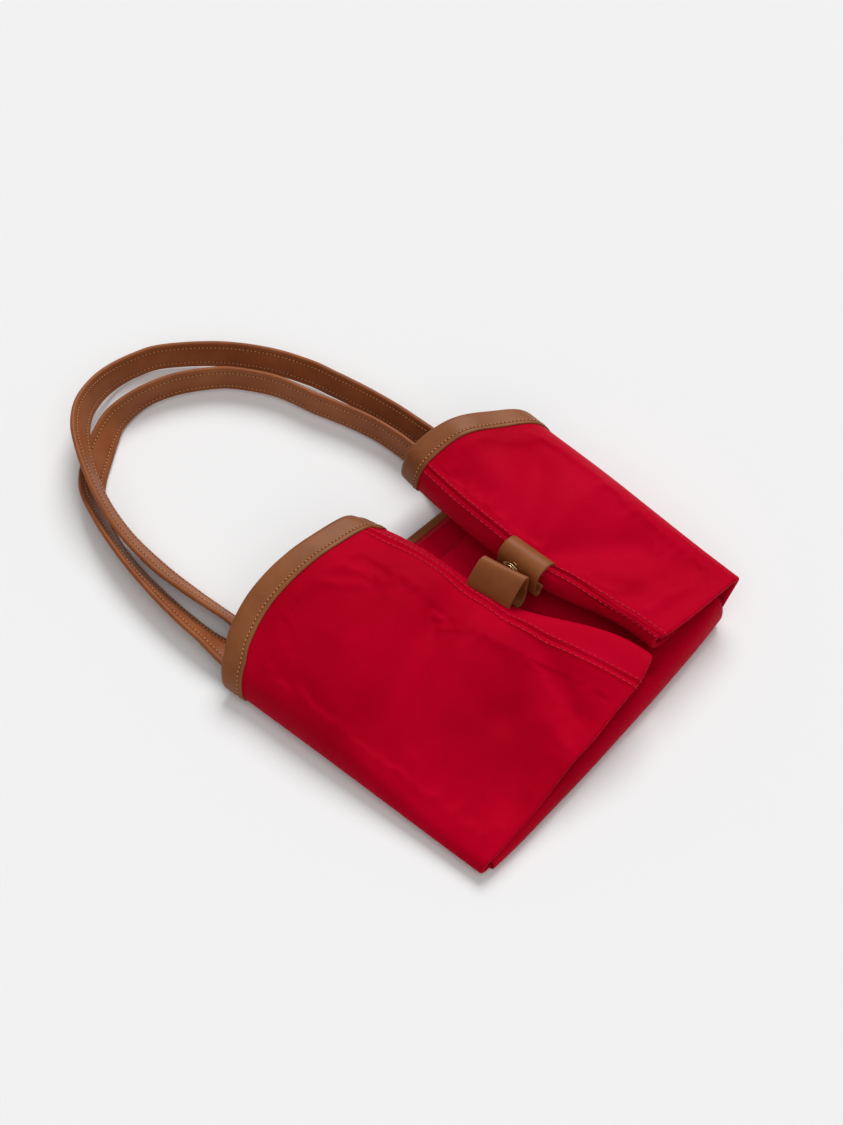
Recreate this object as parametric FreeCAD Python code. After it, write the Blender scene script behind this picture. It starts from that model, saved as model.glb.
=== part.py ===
# Foldable tote bag, folded: centre stack, two wing flaps, tabs with a press stud, two handles.
# Millimetres. X runs across the bag, +Y points out of the mouth, +Z is up, the floor is z = 0.
import FreeCAD
import Part
import math
import os

# --- driving dimensions ---
FABRIC = 1.0               # thickness of a nylon panel, with its coating and air
SLIT = 0.1                 # gap between stacked pieces that move together
BINDING_WIDE = 13.0        # width of the leather edge binding
BINDING_THICK = 1.3        # leather over each face of the panel
STRAP_WIDE = 17.0          # width of a handle strap
STRAP_THICK = 2.6          # folded leather strap
BOTTOM_EDGE_Y = -20.0      # where the folded-up bottom of the bag ends
FLOOR_CLEAR = 0.0          # underside of the lowest panel
END_BULGE = 4.0            # how far a flap swells past its end fold
HINGE_Y = 28.0             # handles bend here, just outside the mouth
HINGE_Z = 18.0
TAB_WIDE = 26.0            # length of a tab along the seam
TAB_THICK = 1.6            # tab leather
STUD_CENTRE_Y = -69.0      # middle of the tabs and of the press stud

NEAR_FOLD = ((-112.0, 5.0), (-98.0, -163.0))
NEAR_EDGE = ((6.0, 9.0), (-23.0, 11.5), (-55.0, 12.5), (-72.0, 14.5), (-89.0, 19.0),
             (-103.0, 26.0), (-119.0, 34.0), (-134.0, 39.5), (-150.0, 42.0), (-158.0, 41.0))
FAR_FOLD = ((118.0, -1.0), (115.5, -155.0))
FAR_EDGE = ((18.0, 40.0), (-5.0, 37.5), (-36.0, 36.5), (-60.0, 36.0), (-80.0, 36.5),
            (-98.0, 41.0), (-114.0, 47.0), (-130.0, 51.0), (-152.0, 50.0))
NEAR_HINGE_Z = 8.0
FAR_HINGE_Z = 17.0

# heights of the flat layers of the centre stack and of the flaps (underside of each sheet)
Z_CENTRE_FRONT_UPPER = 8.4
Z_CENTRE_FRONT_LOWER = 10.3
Z_CENTRE_BACK_LOWER = 12.2
Z_FLAP_BACK_LOWER = 14.4
Z_FLAP_FRONT_LOWER = 16.4
Z_FLAP_FRONT_UPPER = 18.3

# top surface of each flap: (share of the width from the fold, height) at the mouth and at the end
NEAR_MOUTH = ((0.0, 8.8), (0.03, 15.0), (0.07, 20.5), (0.15, 27.0), (0.3, 35.0),
              (0.5, 41.0), (0.7, 42.0), (0.85, 39.0), (1.0, 32.0))
NEAR_END = ((0.0, 8.8), (0.03, 13.0), (0.07, 17.0), (0.15, 21.0), (0.3, 25.0),
            (0.5, 30.0), (0.7, 34.0), (0.85, 37.0), (1.0, 35.0))
FAR_MOUTH = ((0.0, 18.0), (0.03, 25.0), (0.07, 31.5), (0.15, 39.0), (0.3, 46.0),
             (0.5, 49.0), (0.7, 47.5), (0.88, 43.0), (1.0, 36.0))
FAR_END = ((0.0, 18.0), (0.03, 23.0), (0.07, 27.0), (0.15, 30.5), (0.3, 33.0),
           (0.5, 34.5), (0.7, 35.5), (0.88, 35.0), (1.0, 32.0))

# handle centre lines: x, y, height of the middle, lean of the upper edge out of the loop
BACK_HANDLE = ((79, 28, 3.4, 90), (79, 47, 3.8, 90), (77, 66, 9.6, 20), (74, 88, 9.6, 10),
               (70, 108, 9.6, 12), (66, 125, 9.6, 14), (56, 149, 9.6, 14),
               (39, 174, 9.6, 10), (15, 196, 9.6, 6), (-1, 203, 9.6, 6),
               (-17, 205, 10.4, 14), (-33, 200.5, 14.5, 22), (-48, 192, 18.5, 30),
               (-60, 179.5, 20.5, 36), (-68.5, 165, 20.5, 38), (-75, 149, 19, 38),
               (-80, 131, 15.5, 36), (-84, 110, 11.5, 36), (-86, 84, 9.4, 38),
               (-84.5, 66, 8.2, 46), (-81.5, 48, 5, 80), (-79.5, 28, 3.4, 90))
FRONT_HANDLE = ((62, 28, 6.4, 90), (65, 40, 9, 60), (65, 52, 9.6, 10), (62, 70, 9.6, 6),
                (57, 90, 9.6, 5), (52, 106, 9.6, 5), (46, 130, 9.6, 5),
                (35, 150, 9.6, 5), (25, 161.5, 9.6, 5), (6, 174.5, 9.6, 5),
                (-14, 181, 9.6, 6), (-34, 181, 8.4, 32), (-48, 175.5, 5.6, 62),
                (-59.5, 168.5, 3.8, 80), (-71, 159.5, 3.6, 84), (-81, 148, 4.4, 76),
                (-89, 131, 6.4, 60), (-94.5, 112, 7.4, 46), (-98.5, 92, 7.6, 44),
                (-100.5, 68, 7.6, 46), (-100.5, 50, 7.4, 54), (-99, 38, 6.9, 80),
                (-97, 28, 6.4, 90))
SEWN_IN_Y = -24.0          # how far the strap ends reach into the bag


def smooth(t):
    t = min(1.0, max(0.0, t))
    return t * t * (3.0 - 2.0 * t)


def along(table, t):
    """Value of a table of (position, value) pairs at t, with straight runs between them."""
    for (a, va), (b, vb) in zip(table, table[1:]):
        if min(a, b) <= t <= max(a, b):
            return va + (vb - va) * (t - a) / (b - a)
    beyond_first = abs(t - table[0][0]) < abs(t - table[-1][0])
    return table[0][1] if beyond_first else table[-1][1]


def on_line(line, y):
    """X of a straight line in plan at a given y."""
    (xa, ya), (xb, yb) = line
    return xa + (xb - xa) * (y - ya) / (yb - ya)


def closed_wire(points):
    return Part.makePolygon(points + [points[0]])


def loft(sections):
    """Solid through closed polygons that all have the same number of corners."""
    wires = [closed_wire([FreeCAD.Vector(*p) for p in s]) for s in sections]
    solid = Part.makeLoft(wires, True, True)
    if solid.Volume < 0:
        solid.reverse()
    return solid


def patch(a, b, c, d):
    """Flat faces over four corners: one quad where they lie in a plane, else two triangles."""
    normal = (b - a).cross(c - a)
    if normal.Length > 1e-9 and abs(normal.normalize().dot(d - a)) < 1e-6:
        return [Part.Face(closed_wire([a, b, c, d]))]
    return [Part.Face(closed_wire([a, b, c])), Part.Face(closed_wire([a, c, d]))]


def shell(sections):
    """Solid sheet through sections, each a pair of paths of equal length: one face and the other."""
    pairs = []
    for outer, inner in sections:
        pairs.append(([FreeCAD.Vector(*p) for p in outer], [FreeCAD.Vector(*p) for p in inner]))
    last = len(pairs[0][0]) - 1
    faces = []
    for (oa, ia), (ob, ib) in zip(pairs, pairs[1:]):
        for k in range(last):
            faces += patch(oa[k], oa[k + 1], ob[k + 1], ob[k])
            faces += patch(ia[k], ib[k], ib[k + 1], ia[k + 1])
        faces += patch(oa[0], ob[0], ib[0], ia[0])
        faces += patch(oa[last], ia[last], ib[last], ob[last])
    for outer, inner in (pairs[0], pairs[-1]):
        for k in range(last):
            faces += patch(outer[k], inner[k], inner[k + 1], outer[k + 1])
    skin = Part.makeShell(faces)
    skin.sewShape()
    solid = Part.makeSolid(skin)
    if solid.Volume < 0:
        solid.reverse()
    return solid


def save(name, shape):
    shape.exportStep("parts/" + name + ".step")


class Flap:
    """One wing of the bag, folded over the centre: outer dome on top, flat layers below."""

    def __init__(self, fold, edge, mouth, end, mouth_y, end_y, blend_from):
        self.fold = fold
        self.edge = edge
        self.mouth = mouth
        self.end = end
        self.mouth_y = mouth_y
        self.end_y = end_y
        self.blend_from = blend_from

    def x(self, u, y):
        inward = 1.0 if self.edge[0][1] > self.fold[0][0] else -1.0
        start = on_line(self.fold, y) + inward
        return start + (along(self.edge, y) - start) * u

    def y_at(self, u, v):
        m = along(self.mouth_y, u)
        return m + (along(self.end_y, u) - m) * v

    def top(self, u, y):
        """Height of the outer surface."""
        m = along(self.mouth_y, u)
        v = (m - y) / (m - along(self.end_y, u))
        w = smooth((v - self.blend_from) / (1.0 - self.blend_from))
        return along(self.mouth, u) * (1.0 - w) + along(self.end, u) * w

    def front_upper(self, u, y):
        """Height of the underside of the inner upper layer: flat, then up to the side seam."""
        rise = smooth((u - 0.7) / 0.3)
        high = self.top(1.0, y) - 2.0 * FABRIC - 1.4
        return Z_FLAP_FRONT_UPPER * (1.0 - rise) + high * rise

    def section(self, u, outer, inner):
        """Two paths of (y, z) points laid at a share u of the flap's width."""
        return [[(self.x(u, y), y, z) for y, z in path] for path in (outer, inner)]

    def back_upper(self):
        """Outer panel on top, from the fold to the side seam."""
        sections = []
        for u in (0.0, 0.03, 0.07, 0.15, 0.3, 0.5, 0.7, 0.85, 0.93, 1.0):
            ys = [self.y_at(u, k / 10.0) for k in range(11)]
            upper = [(y, self.top(u, y)) for y in ys]
            lower = [(y, self.top(u, y) - FABRIC) for y in ys]
            sections.append(self.section(u, upper, lower))
        return shell(sections)

    def end_wrap(self, u, low, high, inset):
        """Points of the half ellipse from the low level to the high level at the end fold."""
        y_end = along(self.end_y, u) - SLIT
        mid = (low + high) / 2.0
        half = (high - low) / 2.0
        points = []
        for k in range(9):
            a = -math.pi / 2.0 + math.pi * k / 8.0
            points.append((y_end - (END_BULGE - inset) * math.cos(a), mid + half * math.sin(a)))
        return points

    def back_lower(self):
        """Outer panel from the end fold back under the flap."""
        sections = []
        for u in (0.12, 0.3, 0.5, 0.7, 0.85, 1.0):
            high = self.top(u, along(self.end_y, u))
            low = Z_FLAP_BACK_LOWER
            outer = self.end_wrap(u, low, high, 0.0)
            inner = self.end_wrap(u, low + FABRIC, high - FABRIC, FABRIC)
            ys = (BOTTOM_EDGE_Y, -60.0, -90.0, -110.0, -130.0, -145.0)
            outer = [(y, low) for y in ys] + outer
            inner = [(y, low + FABRIC) for y in ys] + inner
            sections.append(self.section(u, outer, inner))
        return shell(sections)

    def front_panel(self):
        """Inner panel: upper layer, small end fold, lower layer."""
        sections = []
        for u in (0.2, 0.3, 0.5, 0.7, 0.78, 0.85, 0.93, 1.0):
            turn = along(self.end_y, u) + 3.0
            m = along(self.mouth_y, u) - 1.0
            ys = [m + (turn - m) * k / 6.0 for k in range(7)]
            low = Z_FLAP_FRONT_LOWER
            shelf = self.front_upper(u, turn)
            outer = [(y, self.front_upper(u, y) + FABRIC) for y in ys]
            inner = [(y, self.front_upper(u, y)) for y in ys[:-1]]
            outer.append((turn - 1.5, (shelf + FABRIC + low) / 2.0))
            inner += [(turn + 0.4, shelf), (turn - 0.4, (shelf + low + FABRIC) / 2.0)]
            outer.append((turn, low))
            inner.append((turn + 0.4, low + FABRIC))
            back = (-140.0, -125.0, -105.0, -85.0, -60.0, BOTTOM_EDGE_Y)
            outer += [(y, low) for y in back]
            inner += [(y, low + FABRIC) for y in back]
            sections.append(self.section(u, outer, inner))
        return shell(sections)

    def binding(self, height, shares, inner_drop):
        """Leather folded over the mouth edge of a layer whose upper face is at height(u, y)."""
        sections = []
        for u in shares:
            m = along(self.mouth_y, u)
            ys = [m - BINDING_WIDE + (BINDING_WIDE + 1.4) * k / 3.0 for k in range(4)]
            slot = m - inner_drop + SLIT
            t = BINDING_THICK
            outer = [(y, height(u, y) + t) for y in ys]
            outer += [(y, height(u, y) - FABRIC - t) for y in reversed(ys)]
            slit_ys = (ys[0], ys[1], ys[2], slot)
            inner = [(y, height(u, y) + SLIT) for y in slit_ys]
            inner += [(y, height(u, y) - FABRIC - SLIT) for y in reversed(slit_ys)]
            sections.append(self.section(u, outer, inner))
        return shell(sections)

    def back_binding(self):
        return self.binding(self.top, (0.07, 0.15, 0.3, 0.5, 0.7, 0.85, 0.93, 1.0), 0.0)

    def front_binding(self):
        shares = (0.3, 0.5, 0.7, 0.78, 0.85, 0.93)
        return self.binding(lambda u, y: self.front_upper(u, y) + FABRIC, shares, 1.0)

    def side_seam(self):
        """Taped seam that joins the outer and the inner panel along the free edge."""
        sections = []
        for u in (0.985, 0.999):
            m = along(self.mouth_y, u) - BINDING_WIDE - 6.0
            end = along(self.end_y, u)
            ys = [m + (end + 3.0 - m) * k / 9.0 for k in range(10)]
            outer = [(y, self.top(u, y) - FABRIC - SLIT) for y in ys]
            inner = [(y, self.front_upper(u, y) + FABRIC + SLIT) for y in ys]
            low = Z_FLAP_BACK_LOWER + FABRIC + SLIT
            outer += [(end - 1.4, 26.0), (end - 1.4, 20.0), (end, low)]
            inner += [(end + 0.4, 26.0), (end + 0.4, 20.0), (end + 2.0, low + 0.75)]
            back = (-140.0, -125.0, -105.0, -85.0, -60.0, BOTTOM_EDGE_Y - 1.0)
            outer += [(y, low) for y in back]
            inner += [(y, low + 0.75) for y in back]
            sections.append(self.section(u, outer, inner))
        return shell(sections)

    def bottom_seam(self):
        """Seam of the bag's bottom edge, folded up inside the flap."""
        sections = []
        for u in (0.2, 1.0):
            y = BOTTOM_EDGE_Y + SLIT
            low = [(y, Z_FLAP_BACK_LOWER), (y + 2.5, Z_FLAP_BACK_LOWER)]
            high = [(y, Z_FLAP_FRONT_LOWER + FABRIC), (y + 2.5, Z_FLAP_FRONT_LOWER + FABRIC)]
            sections.append(self.section(u, low, high))
        return shell(sections)


NEAR = Flap(NEAR_FOLD, NEAR_EDGE, NEAR_MOUTH, NEAR_END,
            ((0.0, 5.0), (0.15, 11.0), (0.3, 16.0), (0.5, 19.0), (0.7, 17.0), (0.85, 12.0), (1.0, 5.0)),
            ((0.0, -159.0), (1.0, -154.5)), 0.3)
FAR = Flap(FAR_FOLD, FAR_EDGE, FAR_MOUTH, FAR_END,
           ((0.0, -1.0), (0.07, 9.0), (0.15, 14.0), (0.5, 18.5), (0.85, 19.5), (1.0, 17.0)),
           ((0.0, -149.5), (1.0, -147.5)), 0.3)


def centre_x(side, depth, y):
    """X at a depth inward from the near (-1) or far (+1) fold line."""
    if side < 0:
        return on_line(NEAR_FOLD, y) + depth
    return on_line(FAR_FOLD, y) - depth


def centre_mouth(x):
    return 2.0 - x / 50.0


def centre_end(x):
    return -156.0 + x / 20.0


CENTRE_STATIONS = ((-1, 8.0), (-1, 50.0), (-1, 100.0), (1, 60.0), (1, 20.0), (1, 10.0))


def centre_section(side, depth, outline):
    """A closed outline of (y, z) laid on the vertical plane of a centre station."""
    return [(centre_x(side, depth, y), y, z) for y, z in outline]


def centre_back_upper():
    """Outer panel on the floor, turned up at both side folds to meet the flaps."""
    stations = ((-1, 1.0, 7.5), (-1, 1.6, 5.4), (-1, 3.0, 3.2), (-1, 6.0, 1.6), (-1, 12.0, 1.0),
                (-1, 60.0, 1.0), (1, 60.0, 1.0), (1, 24.0, 1.0), (1, 14.0, 3.0), (1, 7.0, 7.2),
                (1, 3.0, 11.8), (1, 1.0, 16.4))
    sections = []
    for side, depth, top in stations:
        x = centre_x(side, depth, 0.0)
        a = centre_mouth(x)
        b = centre_end(x)
        upper = centre_section(side, depth, [(a, top), (b, top)])
        lower = centre_section(side, depth, [(a, top - FABRIC), (b, top - FABRIC)])
        sections.append((upper, lower))
    return shell(sections)


def centre_back_lower():
    """Outer panel from the end fold back over the centre stack."""
    sections = []
    low = FLOOR_CLEAR
    high = Z_CENTRE_BACK_LOWER + FABRIC
    for side, depth in CENTRE_STATIONS:
        end = centre_end(centre_x(side, depth, 0.0)) - SLIT
        lift = max(0.0, 24.0 - depth) * 0.2 if side > 0 else 0.0
        mid = (low + lift + high) / 2.0
        half = (high - low - lift) / 2.0
        outer = []
        inner = []
        for k in range(9):
            a = -math.pi / 2.0 + math.pi * k / 8.0
            outer.append((end - 6.0 * math.cos(a), mid + half * math.sin(a)))
            inner.append((end - 5.0 * math.cos(a), mid + (half - FABRIC) * math.sin(a)))
        outline = outer + [(BOTTOM_EDGE_Y, high), (BOTTOM_EDGE_Y, high - FABRIC)] + inner[::-1]
        sections.append(centre_section(side, depth, outline))
    return loft(sections)


def centre_front_panel():
    """Inner panel of the centre: upper layer, end fold, lower layer."""
    sections = []
    low = Z_CENTRE_FRONT_UPPER
    high = Z_CENTRE_FRONT_LOWER + FABRIC
    for side, depth in CENTRE_STATIONS:
        x = centre_x(side, depth, 0.0)
        a = centre_mouth(x)
        turn = centre_end(x) + 3.0
        mid = (low + high) / 2.0
        outline = [(a, low), (turn, low), (turn - 1.6, mid), (turn, high), (BOTTOM_EDGE_Y, high),
                   (BOTTOM_EDGE_Y, high - FABRIC), (turn + 0.3, high - FABRIC),
                   (turn - 0.5, mid), (turn + 0.3, low + FABRIC), (a, low + FABRIC)]
        sections.append(centre_section(side, depth, outline))
    return loft(sections)


def centre_back_binding():
    """Leather over the mouth edge of the panel that lies on the floor."""
    sections = []
    for side, depth in ((-1, 14.0), (-1, 60.0), (1, 60.0), (1, 26.0)):
        m = centre_mouth(centre_x(side, depth, 0.0))
        a = m - BINDING_WIDE
        b = m + 1.2
        top = FLOOR_CLEAR + FABRIC
        outer = [(a, top + 0.7), (b, top + 0.7), (b, 0.0)]
        inner = [(a, top + SLIT), (m + SLIT, top + SLIT), (m + SLIT, 0.0)]
        sections.append((centre_section(side, depth, outer), centre_section(side, depth, inner)))
    return shell(sections)


def centre_front_binding():
    """Leather folded over the mouth edge of the upper centre layer."""
    sections = []
    for side, depth in ((-1, 8.0), (-1, 60.0), (1, 60.0), (1, 10.0)):
        m = centre_mouth(centre_x(side, depth, 0.0))
        a = m - BINDING_WIDE
        b = m + 1.2
        low = Z_CENTRE_FRONT_UPPER
        slot = m + SLIT
        under = 0.4
        over = 0.6
        high = low + FABRIC
        outer = [(a, low - under), (b, low - under), (b, high + over), (a, high + over)]
        inner = [(a, low - SLIT), (slot, low - SLIT), (slot, high + SLIT), (a, high + SLIT)]
        sections.append((centre_section(side, depth, outer), centre_section(side, depth, inner)))
    return shell(sections)


def centre_bottom_seam():
    y = BOTTOM_EDGE_Y + SLIT
    low = Z_CENTRE_FRONT_LOWER
    high = Z_CENTRE_BACK_LOWER + FABRIC
    outline = [(y, low), (y + 2.5, low), (y + 2.5, high), (y, high)]
    return loft([centre_section(-1, 8.0, outline), centre_section(1, 10.0, outline)])


def strap_section(here, ahead, height, lean, out):
    """Rectangle across a strap: its long side leans out of the loop by the given angle."""
    go = (ahead - here).normalize()
    side = FreeCAD.Vector(go.y, -go.x, 0.0) * out
    a = math.radians(lean)
    wide = side * math.sin(a) + FreeCAD.Vector(0, 0, 1) * math.cos(a)
    thick = go.cross(wide).normalize()
    centre = FreeCAD.Vector(here.x, here.y, height)
    corners = []
    for p, q in ((-1, -1), (1, -1), (1, 1), (-1, 1)):
        corners.append(centre + wide * (p * STRAP_WIDE / 2.0) + thick * (q * STRAP_THICK / 2.0))
    return [(c.x, c.y, c.z) for c in corners]


def strap_loop(table):
    """A handle strap through its stations, twisting from flat to on edge and back."""
    sections = []
    out = -1.0
    for i, (x, y, z, lean) in enumerate(table):
        before = table[max(0, i - 1)]
        after = table[min(len(table) - 1, i + 1)]
        here = FreeCAD.Vector(x, y, 0)
        step = FreeCAD.Vector(after[0] - before[0], after[1] - before[1], 0)
        if i == 0:
            step = FreeCAD.Vector(0, 1, 0)
        if i == len(table) - 1:
            step = FreeCAD.Vector(0, -1, 0)
        a, b, c, d = strap_section(here, here + step, z, lean, -out)
        sections.append(([a, b], [d, c]))
    return shell(sections)


def strap_end(station):
    """Flat strap end sewn to the inside of the mouth, up to where the handle bends."""
    x, _, z, _ = station
    size = (STRAP_WIDE, HINGE_Y - 0.6 - SEWN_IN_Y, STRAP_THICK)
    corner = FreeCAD.Vector(x - STRAP_WIDE / 2.0, SEWN_IN_Y, z - STRAP_THICK / 2.0)
    return Part.makeBox(*size, corner)


def ribbon(path, thick):
    """Closed outline of a strip of leather that follows an open path of (x, z) points."""
    left = []
    right = []
    for i, (x, z) in enumerate(path):
        ax, az = path[max(0, i - 1)]
        bx, bz = path[min(len(path) - 1, i + 1)]
        length = math.hypot(bx - ax, bz - az)
        nx = -(bz - az) / length * thick / 2.0
        nz = (bx - ax) / length * thick / 2.0
        left.append((x + nx, z + nz))
        right.append((x - nx, z - nz))
    return left + right[::-1]


def tab_loop(path):
    """Leather strip looped back to the seam, as wide as the tab."""
    outline = ribbon(path, TAB_THICK)
    ends = []
    for y in (STUD_CENTRE_Y - TAB_WIDE / 2.0, STUD_CENTRE_Y + TAB_WIDE / 2.0):
        ends.append([(x, y, z) for x, z in outline])
    return loft(ends)


NEAR_TAB_PATH = ((17.5, 33.7), (16.7, 37.1), (17.7, 42.0), (20.9, 46.6), (23.7, 47.9), (24.6, 46.0),
                 (24.7, 41.0), (24.5, 34.0), (23.4, 29.2), (21.3, 27.8), (19.1, 29.2))
FAR_TAB_PATH = ((34.1, 41.6), (33.1, 44.6), (31.1, 46.3), (28.7, 45.6), (28.0, 43.0),
                (28.0, 38.0), (28.1, 32.0), (29.7, 28.8), (31.9, 29.6), (33.1, 33.0))
STUD_Z = 40.0


def disc(x, radius, thick):
    """Short cylinder with its axis along X, centred on the press stud."""
    base = FreeCAD.Vector(x, STUD_CENTRE_Y, STUD_Z)
    return Part.makeCylinder(radius, thick, base, FreeCAD.Vector(1, 0, 0))


def snap_stud():
    """Male half: base ring on the near tab with a headed post."""
    base = disc(25.75, 5.4, 0.55)
    post = disc(26.3, 1.5, 0.5)
    return base.fuse(post)


def snap_stud_cap():
    """Back plate of the male half, inside the near tab's loop."""
    return disc(22.9, 4.4, 0.75)


def snap_socket():
    """Female half: ring with a hole that takes the post."""
    return disc(26.65, 6.0, 0.5).cut(disc(26.5, 2.2, 0.8))


def snap_socket_cap():
    """Back plate of the female half, inside the far tab's loop."""
    return disc(29.2, 4.4, 0.75)


def main():
    os.makedirs("parts", exist_ok=True)
    save("centre_back_upper", centre_back_upper())
    save("centre_back_lower", centre_back_lower())
    save("centre_front_panel", centre_front_panel())
    save("centre_back_binding", centre_back_binding())
    save("centre_front_binding", centre_front_binding())
    save("centre_bottom_seam", centre_bottom_seam())
    for name, flap in (("near_flap", NEAR), ("far_flap", FAR)):
        save(name + "_back_upper", flap.back_upper())
        save(name + "_back_lower", flap.back_lower())
        save(name + "_front_panel", flap.front_panel())
        save(name + "_back_binding", flap.back_binding())
        save(name + "_front_binding", flap.front_binding())
        save(name + "_side_seam", flap.side_seam())
        save(name + "_bottom_seam", flap.bottom_seam())
    save("back_handle_strap", strap_loop(BACK_HANDLE))
    save("front_handle_strap", strap_loop(FRONT_HANDLE))
    save("back_handle_far_end", strap_end(BACK_HANDLE[0]))
    save("back_handle_near_end", strap_end(BACK_HANDLE[-1]))
    save("front_handle_far_end", strap_end(FRONT_HANDLE[0]))
    save("front_handle_near_end", strap_end(FRONT_HANDLE[-1]))
    save("near_tab_loop", tab_loop(NEAR_TAB_PATH))
    save("far_tab_loop", tab_loop(FAR_TAB_PATH))
    save("snap_stud", snap_stud())
    save("snap_stud_cap", snap_stud_cap())
    save("snap_socket", snap_socket())
    save("snap_socket_cap", snap_socket_cap())


main()
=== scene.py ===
"""Visual model of the folded nylon tote: cloth wings, leather trim, straps, tabs and press stud."""
import math

import bpy
import numpy as np
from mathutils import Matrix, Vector


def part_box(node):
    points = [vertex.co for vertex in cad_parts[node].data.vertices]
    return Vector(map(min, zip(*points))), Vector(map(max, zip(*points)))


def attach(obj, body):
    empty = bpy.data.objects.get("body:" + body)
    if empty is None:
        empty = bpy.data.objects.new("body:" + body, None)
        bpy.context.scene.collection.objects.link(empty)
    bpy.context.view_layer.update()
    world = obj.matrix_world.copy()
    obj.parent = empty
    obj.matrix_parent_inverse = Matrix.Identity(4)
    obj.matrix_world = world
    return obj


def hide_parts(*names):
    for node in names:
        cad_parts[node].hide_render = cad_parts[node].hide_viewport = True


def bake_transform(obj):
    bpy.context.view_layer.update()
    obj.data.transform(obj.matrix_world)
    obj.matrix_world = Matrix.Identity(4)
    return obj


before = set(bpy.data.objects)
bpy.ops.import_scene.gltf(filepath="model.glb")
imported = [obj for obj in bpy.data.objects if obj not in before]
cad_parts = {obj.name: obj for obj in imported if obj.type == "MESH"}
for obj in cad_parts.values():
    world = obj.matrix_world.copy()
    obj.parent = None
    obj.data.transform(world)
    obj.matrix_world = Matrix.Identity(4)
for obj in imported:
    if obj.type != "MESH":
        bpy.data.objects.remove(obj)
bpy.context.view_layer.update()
MM = 0.001
rng = np.random.default_rng(11)

# ---------------------------------------------------------------- places taken from the frame


def box_mm(node):
    low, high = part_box(node)
    return np.array(low) / MM, np.array(high) / MM


STUD_LOW, STUD_HIGH = box_mm("snap_stud")
STUD = (STUD_LOW + STUD_HIGH) / 2.0


# ---------------------------------------------------------------- small maths


def smooth(t):
    t = np.clip(t, 0.0, 1.0)
    return t * t * (3.0 - 2.0 * t)


def unit(v):
    return v / np.maximum(np.linalg.norm(v, axis=-1, keepdims=True), 1e-12)


class Curve1:
    """A number along a line: straight between the given stations, then softened."""

    def __init__(self, pairs, soften=5.0):
        a = np.array(sorted(pairs), float)
        self.lo, self.hi = a[0, 0], a[-1, 0]
        self.x = np.linspace(self.lo - 4 * soften, self.hi + 4 * soften, 600)
        step = self.x[1] - self.x[0]
        first = (a[1, 1] - a[0, 1]) / (a[1, 0] - a[0, 0])
        last = (a[-1, 1] - a[-2, 1]) / (a[-1, 0] - a[-2, 0])
        y = np.interp(self.x, a[:, 0], a[:, 1])
        y = np.where(self.x < self.lo, a[0, 1] + first * (self.x - self.lo), y)
        y = np.where(self.x > self.hi, a[-1, 1] + last * (self.x - self.hi), y)
        half = max(1, int(3 * soften / step))
        k = np.exp(-0.5 * (np.arange(-half, half + 1) * step / soften) ** 2)
        padded = np.concatenate([y[0] + (np.arange(-half, 0)) * step * first, y,
                                 y[-1] + np.arange(1, half + 1) * step * last])
        self.y = np.convolve(padded, k / k.sum(), "valid")

    def __call__(self, t):
        return np.interp(t, self.x, self.y)


def spline(a, b, c, d, f):
    """Smooth step from b to c at a share f, with a before them and d after."""
    return 0.5 * (2 * b + (c - a) * f + (2 * a - 5 * b + 4 * c - d) * f ** 2
                  + (3 * b - a - 3 * c + d) * f ** 3)


def catmull(points, t):
    """Smooth curve through points (K, D) at parameters t from 0 to K - 1."""
    p = np.asarray(points, float)
    last = len(p) - 1
    t = np.clip(np.asarray(t, float), 0.0, last)
    i = np.minimum(t.astype(int), last - 1)
    f = (t - i)[..., None]
    return spline(*(p[np.clip(i + k, 0, last)] for k in (-1, 0, 1, 2)), f)


def even(path, step):
    """A polyline walked at an even step."""
    path = np.asarray(path, float)
    run = np.concatenate([[0.0], np.cumsum(np.linalg.norm(np.diff(path, axis=0), axis=1))])
    count = max(2, int(round(run[-1] / step)) + 1)
    s = np.linspace(0.0, run[-1], count)
    return np.stack([np.interp(s, run, path[:, k]) for k in range(path.shape[1])], 1)


# ---------------------------------------------------------------- mesh makers


def add_object(name, data):
    obj = bpy.data.objects.new(name, data)
    bpy.context.scene.collection.objects.link(obj)
    return obj


def mesh_piece(name, verts, faces, material, uv=None, shade=True):
    """A mesh object from points in millimetres."""
    mesh = bpy.data.meshes.new(name)
    mesh.from_pydata((np.asarray(verts) * MM).tolist(), [], [list(f) for f in faces])
    mesh.update()
    if uv is not None:
        layer = mesh.uv_layers.new(name="metres")
        index = np.zeros(len(mesh.loops), np.int32)
        mesh.loops.foreach_get("vertex_index", index)
        layer.data.foreach_set("uv", (np.asarray(uv) * MM)[index].astype(np.float32).ravel())
    if shade:
        mesh.polygons.foreach_set("use_smooth", [True] * len(mesh.polygons))
    mesh.materials.append(material)
    return add_object(name, mesh)


def grid_faces(rows, cols, wrap=False, flip=False, offset=0):
    r = np.arange(rows - 1)[:, None]
    c = np.arange(cols if wrap else cols - 1)[None, :]
    a = r * cols + c
    b = r * cols + (c + 1) % cols
    quads = np.stack([a, b, b + cols, a + cols], -1).reshape(-1, 4) + offset
    return quads[:, ::-1] if flip else quads


def grid_normals(points):
    du = np.gradient(points, axis=1)
    dv = np.gradient(points, axis=0)
    return unit(np.cross(du, dv))


def arc_uv(points):
    """Lengths along both ways of a grid, in millimetres."""
    du = np.linalg.norm(np.diff(points, axis=1), axis=2)
    dv = np.linalg.norm(np.diff(points, axis=0), axis=2)
    u = np.concatenate([np.zeros((len(points), 1)), np.cumsum(du, 1)], 1)
    v = np.concatenate([np.zeros((1, points.shape[1])), np.cumsum(dv, 0)], 0)
    middle = u[:, points.shape[1] // 2][:, None]
    return np.stack([u - middle, v], -1)


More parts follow.
